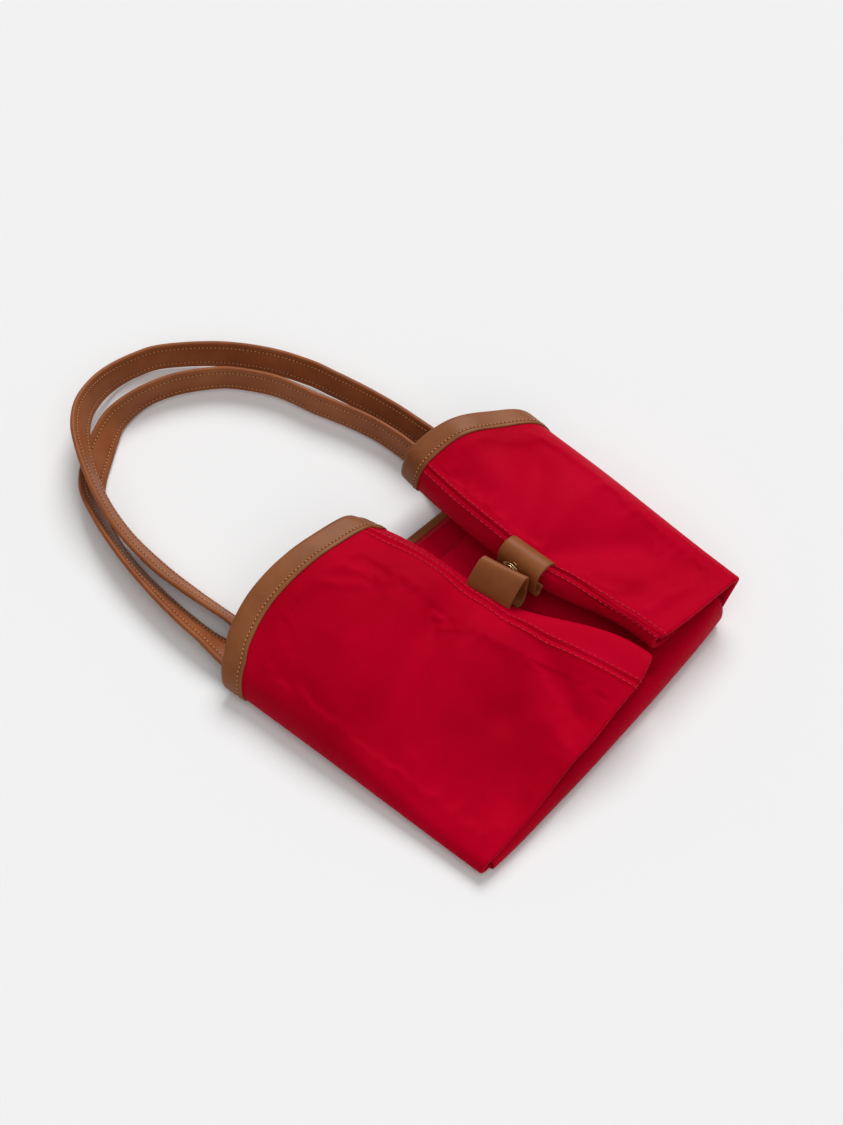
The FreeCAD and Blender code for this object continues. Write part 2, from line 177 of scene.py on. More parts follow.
def cloth_sheet(name, points, thick, material):
    """A thin closed sheet: the grid is one face, the other lies a thickness inside it."""
    rows, cols = points.shape[:2]
    inner = points - grid_normals(points) * thick
    verts = np.concatenate([points.reshape(-1, 3), inner.reshape(-1, 3)])
    n = rows * cols
    faces = [grid_faces(rows, cols), grid_faces(rows, cols, flip=True, offset=n)]
    ring = np.concatenate([np.arange(cols), np.arange(1, rows) * cols + cols - 1,
                           (rows - 1) * cols + np.arange(cols - 2, -1, -1),
                           np.arange(rows - 2, 0, -1) * cols])
    after = np.roll(ring, -1)
    faces.append(np.stack([after, ring, ring + n, after + n], 1))
    uv = arc_uv(points).reshape(-1, 2)
    return mesh_piece(name, verts, np.concatenate(faces), material, np.concatenate([uv, uv]))


def tube_piece(name, points, material):
    """A closed tube: each row of the grid is one ring."""
    rows, cols = points.shape[:2]
    faces = [tuple(f) for f in grid_faces(rows, cols, wrap=True)]
    faces.append(tuple(range(cols))[::-1])
    faces.append(tuple((rows - 1) * cols + np.arange(cols)))
    around = np.linalg.norm(np.diff(points, axis=1, append=points[:, :1]), axis=2)
    u = np.concatenate([np.zeros((rows, 1)), np.cumsum(around, 1)[:, :-1]], 1)
    along = np.linalg.norm(np.diff(points, axis=0), axis=2).mean(1)
    v = np.concatenate([[0.0], np.cumsum(along)])[:, None] + np.zeros((rows, cols))
    uv = np.stack([u, v], -1).reshape(-1, 2)
    return mesh_piece(name, points.reshape(-1, 3), faces, material, uv)


def capsule(at, side, up, radii, verts, faces, sides=6):
    """Rounded bar through the points at, added to the lists."""
    base = len(verts)
    for p, r in zip(at, radii):
        for k in range(sides):
            a = 2 * math.pi * k / sides
            verts.append(p + (side * math.cos(a) + up * math.sin(a) * 0.85) * r)
    rings = len(at)
    faces.extend(tuple(f) for f in grid_faces(rings, sides, wrap=True, offset=base))
    faces.append(tuple(base + np.arange(sides))[::-1])
    faces.append(tuple(base + (rings - 1) * sides + np.arange(sides)))


def carry(pieces, body):
    """Let pieces ride on one body."""
    for piece in pieces:
        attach(piece, body)


def stitches(name, rows, material, hole_shade_material, dash=1.6, gap=0.8, radius=0.34):
    """Thread along rows of (points, normals): a raised bar for each stitch, and between them a
    small mark whose darker colour paints the shade of a stitch hole.
    """
    share = np.linspace(0.0, 1.0, 6)
    fat = np.array([0.45, 0.9, 1.0, 1.0, 0.9, 0.45]) * radius
    arch = np.sin(math.pi * share) ** 0.6
    threads, shaded_dents = ([], []), ([], [])
    for points, normals in rows:
        both = even(np.concatenate([points, normals], 1), 0.25)
        run = np.concatenate([[0.0],
                              np.cumsum(np.linalg.norm(np.diff(both[:, :3], axis=0), axis=1))])
        s = gap / 2.0
        while s + dash < run[-1]:
            here = np.concatenate([s + share * dash * (1.0 + rng.uniform(-0.06, 0.06)),
                                   [s + dash + gap / 2.0]])
            at = np.stack([np.interp(here, run, both[:, k]) for k in range(6)], 1)
            p, n = at[:, :3], unit(at[3, 3:])
            go = unit(p[5] - p[0])
            side = unit(np.cross(go, n))
            lift = (0.16 * arch - 0.14 * (1 - arch))[:, None]
            bar = p[:6] + n * lift + side * rng.uniform(-0.05, 0.05)
            capsule(bar, side, n, fat, *threads)
            # between stitches: a small bar in the hole-shade colour, painted shade of the stitch
            # hole
            wide = radius * 1.25
            hole = p[6] + go * np.array([[-0.3], [-0.12], [0.12], [0.3]]) * (gap + 0.5) - n * 0.1
            capsule(hole, side, n, np.array([0.4, 1.0, 1.0, 0.4]) * wide, *shaded_dents)
            s += dash + gap
    made = mesh_piece(name, np.array(threads[0]), threads[1], material)
    shaded_holes = mesh_piece(name + "_dents", np.array(shaded_dents[0]), shaded_dents[1], hole_shade_material)
    return made, shaded_holes


# ---------------------------------------------------------------- materials


def srgb(r, g, b):
    def one(c):
        c /= 255.0
        return c / 12.92 if c <= 0.04045 else ((c + 0.055) / 1.055) ** 2.4
    return (one(r), one(g), one(b), 1.0)


class Nodes:
    """A material's node tree, written as short calls."""

    def __init__(self, name):
        self.material = bpy.data.materials.new(name)
        self.material.use_nodes = True
        self.tree = self.material.node_tree
        self.shader = self.tree.nodes["Principled BSDF"]

    def new(self, kind, inputs=(), **settings):
        node = self.tree.nodes.new(kind)
        for key, value in settings.items():
            setattr(node, key, value)
        for socket, value in dict(inputs).items():
            if isinstance(value, bpy.types.NodeSocket):
                self.tree.links.new(value, node.inputs[socket])
            else:
                node.inputs[socket].default_value = value
        return node

    def maths(self, operation, a, b=0.5):
        return self.new("ShaderNodeMath", {0: a, 1: b}, operation=operation).outputs[0]

    def noise(self, vector, scale, detail=3.0, rough=0.5):
        return self.new("ShaderNodeTexNoise", {"Vector": vector, "Scale": scale, "Detail": detail,
                                               "Roughness": rough}).outputs["Fac"]

    def ramp(self, fac, stops):
        node = self.new("ShaderNodeValToRGB", {"Fac": fac})
        element = node.color_ramp.elements
        while len(element) < len(stops):
            element.new(0.5)
        for e, (at, colour) in zip(element, stops):
            e.position = at
            e.color = colour
        return node.outputs["Color"]

    def bump(self, height, distance, strength=1.0, normal=None):
        inputs = {"Height": height, "Distance": distance, "Strength": strength}
        if normal is not None:
            inputs["Normal"] = normal
        return self.new("ShaderNodeBump", inputs).outputs["Normal"]

    def link(self, socket, name):
        self.tree.links.new(socket, self.shader.inputs[name])

    def roughness(self, fac, spread, base):
        """Roughness from base upward, by a share of a texture."""
        rough = self.maths("MULTIPLY_ADD", fac, spread)
        rough.node.inputs[2].default_value = base
        self.link(rough, "Roughness")

    def fixed(self, **values):
        for name, value in values.items():
            self.shader.inputs[name.replace("_", " ")].default_value = value


def nylon_material(name, base, dark, light):
    n = Nodes(name)
    uv = n.new("ShaderNodeUVMap", uv_map="metres").outputs["UV"]
    place = n.new("ShaderNodeTexCoord").outputs["Object"]
    cross = n.new("ShaderNodeSeparateXYZ", {"Vector": uv})
    threads = []
    for axis in ("X", "Y"):
        phase = n.maths("MULTIPLY", cross.outputs[axis], 2 * math.pi / 0.00052)
        threads.append(n.maths("SINE", phase))
    weave = n.maths("MULTIPLY", threads[0], threads[1])
    slub = n.noise(place, 900.0, 2.0)
    patches = n.noise(place, 14.0, 4.0, 0.55)
    mottled = n.ramp(patches, [(0.30, dark), (0.52, base), (0.74, light)])
    fine = n.maths("MULTIPLY_ADD", weave, 0.5)
    fine.node.inputs[2].default_value = 0.5
    tint = n.new("ShaderNodeMixRGB", {"Fac": 0.16, "Color1": mottled}, blend_type="MULTIPLY")
    n.tree.links.new(fine, tint.inputs["Color2"])
    n.link(tint.outputs["Color"], "Base Color")
    soft = n.bump(n.noise(place, 55.0, 3.0, 0.6), 0.0006, 0.35)
    woven = n.bump(weave, 0.00006, 0.35, soft)
    n.link(n.bump(slub, 0.00004, 0.25, woven), "Normal")
    n.roughness(patches, 0.12, 0.50)
    n.fixed(Specular_IOR_Level=0.05, Specular_Tint=(1.0, 0.06, 0.14, 1.0), Sheen_Weight=0.20,
            Sheen_Roughness=0.3, Sheen_Tint=(1.0, 0.06, 0.16, 1.0))
    return n.material


def leather_material(name, base, dark, light):
    n = Nodes(name)
    place = n.new("ShaderNodeTexCoord").outputs["Object"]
    blotch = n.noise(place, 32.0, 5.0, 0.6)
    colour = n.ramp(blotch, [(0.28, dark), (0.5, base), (0.75, light)])
    cells = n.new("ShaderNodeTexVoronoi", {"Vector": place, "Scale": 1500.0},
                  feature="DISTANCE_TO_EDGE").outputs["Distance"]
    pores = n.ramp(cells, [(0.0, (0.72, 0.72, 0.72, 1)), (0.12, (1, 1, 1, 1))])
    tint = n.new("ShaderNodeMixRGB", {"Fac": 0.35, "Color1": colour, "Color2": pores},
                 blend_type="MULTIPLY")
    n.link(tint.outputs["Color"], "Base Color")
    soft = n.bump(n.noise(place, 220.0, 4.0, 0.6), 0.00025, 0.30)
    n.link(n.bump(cells, 0.00010, 0.30, soft), "Normal")
    n.roughness(blotch, 0.16, 0.42)
    n.fixed(Specular_IOR_Level=0.26, Specular_Tint=(1.0, 0.78, 0.6, 1.0), Coat_Weight=0.03,
            Coat_Roughness=0.35)
    return n.material


def thread_and_hole_shade_material(name, base, dark, sheen=0.15):
    n = Nodes(name)
    place = n.new("ShaderNodeTexCoord").outputs["Object"]
    twist = n.noise(place, 2400.0, 2.0)
    n.link(n.ramp(twist, [(0.35, dark), (0.65, base)]), "Base Color")
    n.link(n.bump(twist, 0.00008, 0.4), "Normal")
    n.fixed(Roughness=0.7, Specular_IOR_Level=0.12, Sheen_Weight=sheen)
    return n.material


def brass_material(name):
    n = Nodes(name)
    place = n.new("ShaderNodeTexCoord").outputs["Object"]
    wear = n.noise(place, 420.0, 4.0, 0.6)
    n.link(n.ramp(wear, [(0.3, (0.56, 0.41, 0.20, 1)), (0.6, (0.80, 0.63, 0.34, 1))]),
           "Base Color")
    n.roughness(wear, 0.14, 0.16)
    n.link(n.bump(n.noise(place, 1600.0, 2.0), 0.00003, 0.25), "Normal")
    n.fixed(Metallic=1.0)
    return n.material


NYLON = nylon_material("red_nylon", srgb(185, 0, 34), srgb(167, 0, 27), srgb(194, 1, 40))
BINDING = leather_material("tan_binding", srgb(133, 76, 42), srgb(116, 63, 33),
                           srgb(146, 88, 52))
STRAP = leather_material("tan_strap", srgb(140, 76, 40), srgb(120, 62, 31), srgb(154, 90, 50))
TAB = leather_material("tan_tab", srgb(133, 73, 36), srgb(116, 60, 28), srgb(146, 85, 46))
RED_THREAD = thread_and_hole_shade_material("red_thread", srgb(240, 34, 66), srgb(214, 16, 46), sheen=0.0)
TAN_THREAD = thread_and_hole_shade_material("tan_thread", srgb(214, 146, 88), srgb(170, 108, 60))
# painted shade: the stitch holes' colours are darker copies of the red nylon and the tan leather,
# standing in for the shade inside the holes
RED_HOLE_SHADE = thread_and_hole_shade_material("red_hole_shade", srgb(132, 2, 26), srgb(112, 0, 20))
TAN_HOLE_SHADE = thread_and_hole_shade_material("tan_hole_shade", srgb(72, 40, 24), srgb(52, 28, 17))
BRASS = brass_material("pale_brass")


# ---------------------------------------------------------------- the wings


# simulated part of a wing: its span of the path's points and of the length from mouth to end
SLACK_T, SLACK_Q = (6.2, 11.2), (0.11, 0.985)
SLACK_MOST = 2.2           # millimetres that the slack may rise or sink
SLACK_FRAMES = 24
CLOTH_ROOM = 0.02          # how much larger the simulated cloth is than its frame
RELIEF_SCALE = 1.25        # all creases' heights are raised by this share
HEM_RADIUS = 1.5           # how tightly the cloth turns at the end crease
WING_WIDE = 110.0          # about how wide a wing is


class Wing:
    """One folded-in side of the bag: under the fold, over the top and round the inner edge."""

    def __init__(self, name, flap, fold, edge, seam, mouth_y, end_y, path, ridges, seam_at,
                 blend_from, bend, inner, seam_past_end):
        self.name = name
        self.flap = flap
        self.fold = Curve1([(y, x) for x, y in fold], 2.0)
        self.edge = Curve1(edge, 6.0)
        self.seam = Curve1(seam, 9.0)
        self.inward = 1.0 if fold[0][0] < 0 else -1.0
        self.mouth_y = Curve1(mouth_y, 0.05)
        self.end_y = Curve1(end_y, 0.04)
        table = np.array(path, float)
        self.u, self.d, self.d_end, self.z_mouth, self.z_end, self.dy = table.T
        self.seam_at = seam_at
        self.ridges = ridges
        self.blend_from = blend_from
        self.bend = bend
        self.inner = inner
        self.seam_past_end = seam_past_end
        self.last = len(table) - 1
        self.slack = None

    def control(self, k, q):
        """Place of control point k at a share q of the way from the mouth to the end."""
        k = np.clip(k, 0, self.last)
        w = smooth((q - self.blend_from) / (1.0 - self.blend_from))
        u, d = self.u[k], self.d[k] * (1.0 - w) + self.d_end[k] * w
        m = self.mouth_y(u) + self.dy[k]
        y = m + (self.end_y(u) - m) * q
        fold = self.fold(y)
        wide = (self.edge(y) - fold) * self.inward
        x = fold + self.inward * (u * wide + d)
        x = np.where(k == self.seam_at, self.seam(y), x)
        z = self.z_mouth[k] * (1.0 - w) + self.z_end[k] * w
        return np.stack([x, y, z], -1)

    def point(self, t, q):
        """Place on the cloth: t runs over the path's points, q from the mouth to the end."""
        t, q = np.broadcast_arrays(np.asarray(t, float), np.asarray(q, float))
        t = np.clip(t, 0.0, self.last)
        i = np.minimum(t.astype(int), self.last - 1)
        f = (t - i)[..., None]
        p = spline(*(self.control(i + k, q) for k in (-1, 0, 1, 2)), f)
        top = smooth((t - 5.0) / 3.0) * (1.0 - smooth((t - self.seam_at - 0.5) / 2.5))
        p[..., 2] += self.relief(p[..., 0], p[..., 1]) * top
        if self.slack is not None:
            p[..., 2] += self.slack_at(t, q)
        return p

    def slack_at(self, t, q):
        """Rise of the simulated cloth above the drawn surface, read from its grid."""
        rows, cols = self.slack.shape
        c = np.clip((t - SLACK_T[0]) / (SLACK_T[1] - SLACK_T[0]), 0.0, 1.0) * (cols - 1.001)
        r = np.clip((q - SLACK_Q[0]) / (SLACK_Q[1] - SLACK_Q[0]), 0.0, 1.0) * (rows - 1.001)
        i, j = r.astype(int), c.astype(int)
        f, g = smooth(r - i), smooth(c - j)
        a = self.slack[i, j] * (1 - g) + self.slack[i, j + 1] * g
        b = self.slack[i + 1, j] * (1 - g) + self.slack[i + 1, j + 1] * g
        return a * (1 - f) + b * f

    def settle(self, rows=44, cols=52):
        """Cloth simulation of the wing's top: a slightly roomy sheet held along its borders."""
        t, q = np.meshgrid(np.linspace(*SLACK_T, cols), np.linspace(*SLACK_Q, rows))
        p = self.point(t, q)
        sheet = mesh_piece(self.name + "_slack", p.reshape(-1, 3), grid_faces(rows, cols), NYLON)
        held = sheet.vertex_groups.new(name="held")
        index = np.arange(rows * cols).reshape(rows, cols)
        border = np.concatenate([index[0], index[-1], index[1:-1, 0], index[1:-1, -1]])
        held.add([int(k) for k in border], 1.0, "REPLACE")
        cloth = sheet.modifiers.new("cloth", "CLOTH")
        cloth.settings.quality = 6
        cloth.settings.mass = 0.05
        cloth.settings.tension_stiffness = 12.0
        cloth.settings.compression_stiffness = 12.0
        cloth.settings.shear_stiffness = 4.0
        cloth.settings.bending_stiffness = 0.06
        cloth.settings.vertex_group_mass = "held"
        cloth.settings.shrink_min = -CLOTH_ROOM
        cloth.settings.effector_weights.gravity = 0.25
        cloth.collision_settings.use_collision = False
        cloth.point_cache.frame_end = SLACK_FRAMES
        for number in range(1, SLACK_FRAMES + 1):
            bpy.context.scene.frame_set(number)
        seen = sheet.evaluated_get(bpy.context.evaluated_depsgraph_get())
        z = np.array([v.co.z for v in seen.data.vertices]).reshape(rows, cols) / MM
        rise = z - p[..., 2]
        rise = SLACK_MOST * np.tanh(rise / SLACK_MOST)
        rise[0], rise[-1], rise[:, 0], rise[:, -1] = 0.0, 0.0, 0.0, 0.0
        bpy.data.objects.remove(sheet)
        bpy.context.scene.frame_set(1)
        fine = catmull(rise, np.linspace(0, rows - 1, 4 * rows))
        self.slack = catmull(fine.T, np.linspace(0, cols - 1, 4 * cols)).T

    def relief(self, x, y):
        """Soft creases and hollows: each is (x1, y1, x2, y2, width, height)."""
        z = np.zeros(np.shape(x))
        for x1, y1, x2, y2, wide, high in self.ridges:
            dx, dy = x2 - x1, y2 - y1
            length = math.hypot(dx, dy)
            along = ((x - x1) * dx + (y - y1) * dy) / length
            off = ((x - x1) * dy - (y - y1) * dx) / length
            past = np.maximum(0.0, np.maximum(-along, along - length))
            fade = np.exp(-0.5 * (off / wide) ** 2 - 0.5 * (past / (1.4 * wide)) ** 2)
            z += RELIEF_SCALE * high * fade
        return z

    def top(self, x, y):
        """Height of the outer cloth over a place."""
        fold = self.fold(y)
        wide = (self.edge(y) - fold) * self.inward
        share = (x - fold) * self.inward / wide
        m, e = self.mouth_y(share), self.end_y(share)
        w = smooth(((m - y) / (m - e) - self.blend_from) / (1.0 - self.blend_from))
        k = slice(3, self.seam_at + 2)
        at = self.u[k] + self.d[k] / WING_WIDE
        z_mouth = np.interp(share, at, self.z_mouth[k])
        z_end = np.interp(share, at, self.z_end[k])
        return z_mouth * (1 - w) + z_end * w + self.relief(x, y)

    def normal(self, t, q):
        e = 0.02
        du = self.point(t + e, q) - self.point(t - e, q)
        dv = self.point(t, q + 0.004) - self.point(t, q - 0.004)
        return unit(np.cross(du, dv)) * (-self.inward)

    def ahead(self, t, q):
        """Unit direction from the mouth to the end, along the cloth."""
        return unit(self.point(t, q + 0.004) - self.point(t, q - 0.004))

    def length(self, t):
        return np.linalg.norm(self.point(t, 1.0) - self.point(t, 0.0), axis=-1)

    def stations(self, step=1.5, fine=0.45):
        """Parameters across the wing, close together at the seam."""
        dense = np.linspace(0.0, self.last, 4000)
        p = self.point(dense, 0.5)
        gap = np.linalg.norm(np.diff(p, axis=0), axis=1)
        run = np.concatenate([[0.0], np.cumsum(gap)])
        centre = np.interp(self.seam_at, dense, run)
        density = 1.0 / step + (1.0 / fine - 1.0 / step) * np.exp(-((run - centre) / 5.5) ** 4)
        total = np.concatenate([[0.0], np.cumsum((density[1:] + density[:-1]) / 2 * gap)])
        count = int(total[-1])
        return np.interp(np.linspace(0, total[-1], count), total, dense)

    def hem(self, t, beyond, radius=HEM_RADIUS, depth=46.0, low=17.0):
        """Past the end crease: round it, then back under the top."""
        p, n, go = self.point(t, 1.0), self.normal(t, 1.0), self.ahead(t, 1.0)
        go = unit(go * np.array([0.35, 1.0, 0.35]))
        beyond = np.broadcast_to(beyond, t.shape)
        turn = np.minimum(beyond / radius, math.pi)[..., None]
        back = np.maximum(beyond - math.pi * radius, 0.0)[..., None]
        out = p - n * radius * (1 - np.cos(turn)) + go * radius * np.sin(turn) - go * back
        share = smooth(back[..., 0] / depth)
        aim = np.minimum(low, self.top(out[..., 0], out[..., 1]) - 4.0)
        aim = np.where(t < 5.0, np.minimum(out[..., 2], aim), aim)
        out[..., 2] += (aim - out[..., 2]) * share * 0.85
        return out

    def side(self, t, q, offset):
        """The parameter that lies a distance across the cloth from t."""
        e = 0.03
        speed = np.linalg.norm(self.point(t + e, q) - self.point(t - e, q), axis=-1) / (2 * e)
        return t + offset / speed

    def shell(self):
        """Grid of the whole wing, with its seam, continued past the end crease as a hem."""
        t = self.stations()
        q = np.linspace(0.0, 1.0, 118)
        tt, qq = np.meshgrid(t, q)
        main = self.point(tt, qq)
        n = self.normal(tt, qq)
        seam = self.point(np.full_like(qq, float(self.seam_at)), qq)
        reach = np.linalg.norm(main - seam, axis=-1) * np.sign(tt - self.seam_at)
        groove = -0.55 * np.exp(-(reach / 0.75) ** 2)
        swell = 0.45 * np.exp(-((np.abs(reach) - 2.0) / 1.3) ** 2)
        pucker = 0.12 * np.sin(qq * self.length(tt) * 2 * math.pi / 3.5)
        near_seam = np.exp(-(reach / 4.0) ** 2)
        main = main + n * (groove + swell + pucker * near_seam)[..., None]
        beyond = np.concatenate([np.linspace(0.5, math.pi * 1.5, 9), np.linspace(6.5, 44.0, 16)])
        rows = [self.hem(t, b) for b in beyond]
        lift = groove[-1] + swell[-1]
        rows = [r + n[-1] * lift[:, None] * (1 - smooth((b - 2) / 8.0))
                for r, b in zip(rows, beyond)]
        return np.concatenate([main, np.array(rows)])


def face_out(points, inward):
    """Grid turned so that its normals point out of the bag."""
    return points[:, ::-1] if inward > 0 else points


# what the last four values say:
# blend_from: share of the length where the end's heights begin to take over from the mouth's
# bend: not used; three numbers in millimetres for where the cloth would bend when the wing opens:
# how far inboard of the hinge
#   it starts, how far across it runs and how much it rises
# inner: the lower layer's distance from the fold at the mouth and at the end, then its heights
# seam_past_end: how far the seam's stitches run round the end crease
NEAR = Wing(
    "near_wing", "near_flap",
    fold=((-112.0, 5.0), (-98.0, -163.0)),
    edge=((22, 0.0), (16, 1.2), (10, 3.2), (4, 5.4), (-8, 8.6), (-23, 11.0), (-55, 12.5),
          (-72, 14.0), (-89, 18.0), (-103, 25.5), (-119, 34.0), (-134, 40.0), (-150, 42.5),
          (-158, 42.0)),
    seam=((20, -9.5), (10, -7), (1, -4.5), (-15, -0.5), (-38, 2.5), (-56, 3.5), (-80, 5.5),
          (-100, 8.5), (-119, 13.5), (-136, 18), (-149, 21.5), (-159, 23.5)),
    mouth_y=((0.0, 4.0), (0.1, 13.0), (0.2, 18.0), (0.35, 21.0), (0.5, 21.6), (0.65, 21.0),
             (0.78, 19.6), (0.9, 17.6), (1.0, 15.0)),
    end_y=((0.0, -163.0), (0.13, -163.4), (0.24, -161.4), (0.35, -161.9), (0.46, -159.4),
           (0.57, -160.3), (0.68, -157.9), (0.80, -158.9), (0.90, -157.0), (0.97, -155.8),
           (1.0, -152.0)),
    # each point: share of the width, millimetres inward at the mouth and at the end, height at
    # the mouth and at the end, shift along Y
    path=((0, 16, 16, 2.1, 1.6, -2.2), (0, 7, 7, 2.4, 1.8, -1.8), (0, 2, 2, 4.2, 2.8, -1),
          (0, 0, 0, 7.6, 5.0, 0.2), (0, 1.2, 1.2, 13.0, 8.0, 2), (0, 4.8, 4.8, 18.8, 10.4, 4.6),
          (0.085, 0, 0, 22.8, 11.4, 0), (0.16, 0, 0, 28.0, 12.8, 0), (0.3, 0, 0, 35.0, 15.0, 0),
          (0.45, 0, 0, 39.8, 18.5, 0), (0.6, 0, 0, 42.0, 24.0, 0), (0.74, 0, 0, 41.8, 29.0, 0),
          (0.86, 0, 0, 39.2, 33.5, 0), (0.97, 0, 0, 34.0, 35.5, 0), (1, 0.2, 0.2, 29.5, 32.0, 0),
          (1, 0.2, 0.2, 25.0, 27.0, -1), (1, -2.5, -2.5, 21.2, 22.5, -2),
          (1, -9, -9, 19.2, 20.0, -3), (1, -20, -20, 18.8, 19.0, -3)),
    ridges=((2, -60, -22, -62, 7, -1.6), (-22, -62, -84, -76, 9, -2.8),
            (-24, -40, -78, -52, 11, 1.9), (-86, -30, -93, -60, 6, 1.3),
            (-30, -84, -66, -104, 10, 2.1), (6, -84, -30, -116, 6, -1.9),
            (-30, -116, -62, -148, 9, -2.2), (-8, -96, -22, -108, 7, 1.6),
            (4, -112, -6, -146, 5, -1.8), (10, -96, 16, -140, 4.5, 1.0),
            (-44, -128, -70, -150, 6, 1.4), (-62, -16, -90, -24, 9, -1.6),
            (-10, -8, -34, -24, 9, -1.5), (-84, -104, -97, -140, 6, 1.6),
            (-96, -84, -101, -104, 5, -1.5), (-22, -140, -28, -160, 5, 1.3)),
    seam_at=12, blend_from=0.25, bend=(12, 6, 14), inner=(6.0, 6.0, 20.6, 20.6),
    seam_past_end=4.4)

FAR = Wing(
    "far_wing", "far_flap",
    fold=((118.0, -1.0), (115.5, -155.0)),
    edge=((24, 41.5), (14, 39.5), (-5, 37.5), (-36, 36.5), (-60, 36.0), (-80, 36.5), (-98, 40.5),
          (-112, 46.0), (-130, 49.5), (-152, 49.0)),
    seam=((26, 46), (6, 44), (-23, 41.0), (-40, 40.5), (-60, 41.5), (-80, 44.0), (-94, 46),
          (-109, 47), (-126, 48.5), (-145, 51), (-155, 52)),
    mouth_y=((0.0, -6.0), (0.08, -1.0), (0.16, 2.8), (0.3, 8.4), (0.43, 13.0), (0.57, 17.2),
             (0.7, 20.4), (0.88, 22.4), (1.0, 22.6)),
    end_y=((0.0, -153.0), (0.15, -152.5), (0.6, -152.0), (0.9, -150.5), (1.0, -147.0)),
    path=((0, 14, 25, 2.3, 1.8, -3), (0, 6, 19, 4.0, 3.8, -2.6), (0, 1.5, 14, 10.0, 9.6, -1.8),
          (0, 0, 7, 20.0, 19.0, -0.6), (0, 0.8, 1.6, 29.0, 26.8, 1.2),
          (0, 4.5, 5.0, 36.5, 30.2, 4.0),
          (0.14, 0, 0, 41.8, 31.0, 0), (0.3, 0, 0, 46.4, 32.2, 0), (0.45, 0, 0, 48.2, 33.4, 0),
          (0.6, 0, 0, 48.2, 34.6, 0), (0.74, 0, 0, 47.0, 35.6, 0), (0.86, 0, 0, 44.8, 36.6, 0),
          (0.93, 0, 0, 42.2, 37.0, 0), (0.985, 0, 0, 37.0, 34.5, 0), (1, 0.6, 0.6, 31.4, 30.5, 0),
          (1, 0.4, 0.4, 27.0, 26.0, 0), (1, -4, -4, 23.8, 21.5, -1), (1, -12, -12, 22.2, 18.5, -1),
          (1, -23, -23, 21.8, 17.2, -1)),
    ridges=((48, -58, 84, -34, 7, -2.2), (52, -66, 100, -66, 7, 1.9),
            (50, -80, 88, -104, 7, -2.2), (88, -104, 108, -134, 8, -1.8),
            (58, -100, 74, -128, 6, 1.5), (58, -36, 70, 8, 8, 1.5), (88, -36, 96, 2, 8, -1.9),
            (60, -134, 92, -140, 4.5, 1.5), (64, -126, 86, -130, 5, -1.1),
            (104, -60, 108, -100, 6, 1.3), (52, -14, 56, -34, 5, -1.0)),
    seam_at=12, blend_from=0.3, bend=(10, 20, 30), inner=(7.0, 13.0, 24.4, 19.6),
    seam_past_end=2.0)
WINGS = (NEAR, FAR)
for wing in WINGS:
    wing.settle()


def across_fold(obj):
    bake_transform(obj)


BINDING_WIDE = 13.0
SEAM_HALF = 2.1            # half the distance between the two rows of a seam
BINDING_STITCH = 10.2      # stitch row's distance from the mouth edge
STITCH_LIFT = 0.90         # stitch row's height off the cloth, on the wings
FLAT_BINDING_SHARE = 0.75  # the flat bindings' height, as a share of the wings'
FLAT_STITCH_LIFT = 0.70    # stitch row's height off the cloth, on the flat bindings
# leather folded over a mouth edge: distance from the edge, distance off the cloth
BINDING_PROFILE = ((12.9, 0.05), (12.9, 0.55), (12.4, 0.85), (11.3, 0.92), (10.2, 0.78),
                   (9.3, 0.95), (6.0, 1.10), (3.0, 1.20), (1.0, 1.25), (-0.3, 1.05),
                   (-1.3, 0.45), (-1.6, -0.35), (-1.3, -1.1), (-0.3, -1.6), (1.5, -1.75),
                   (6.0, -1.65), (9.5, -1.5), (11.2, -1.4), (11.4, -1.0), (11.2, -0.6))


def binding_strip(wing, t_from, t_to):
    """Grid of the leather folded over the wing's mouth, and the row its stitches follow."""
    t = np.linspace(t_from, t_to, 190)
    p0, n0, go0 = wing.point(t, 0.0), wing.normal(t, 0.0), wing.ahead(t, 0.0)
    length = wing.length(t)
    columns = []
    for s, off in catmull(BINDING_PROFILE, np.linspace(0, len(BINDING_PROFILE) - 1, 58)):
        if s <= 0:
            columns.append(p0 + go0 * s + n0 * off)
        else:
            q = s / length
            columns.append(wing.point(t, q) + wing.normal(t, q) * off)
    q = BINDING_STITCH / length
    n = wing.normal(t, q)
    return np.array(columns).transpose(1, 0, 2), wing.point(t, q) + n * STITCH_LIFT, n


def seam_row(wing, offset, start_mm):
    """Stitch row beside the seam, from start_mm inside the mouth to a little past the end."""
    seam_at = np.array(float(wing.seam_at))
    q = np.linspace(start_mm / float(wing.length(seam_at)), 1.0, 160)
    base = np.full_like(q, seam_at)
    t = wing.side(base, q, offset)
    n = wing.normal(t, q)
    points = wing.point(t, q) + n * 0.52
    beyond = np.linspace(0.3, wing.seam_past_end, 12)
    tail = np.array([wing.hem(t[-1:], b)[0] for b in beyond])
    turn = np.minimum(beyond / HEM_RADIUS, math.pi)[:, None]
    go = wing.ahead(t[-1:], np.array([1.0]))[0]
    tail_n = unit(n[-1] * np.cos(turn) + go * np.sin(turn))
    points = np.concatenate([points, tail + tail_n * 0.45])
    return points, np.concatenate([n, tail_n])


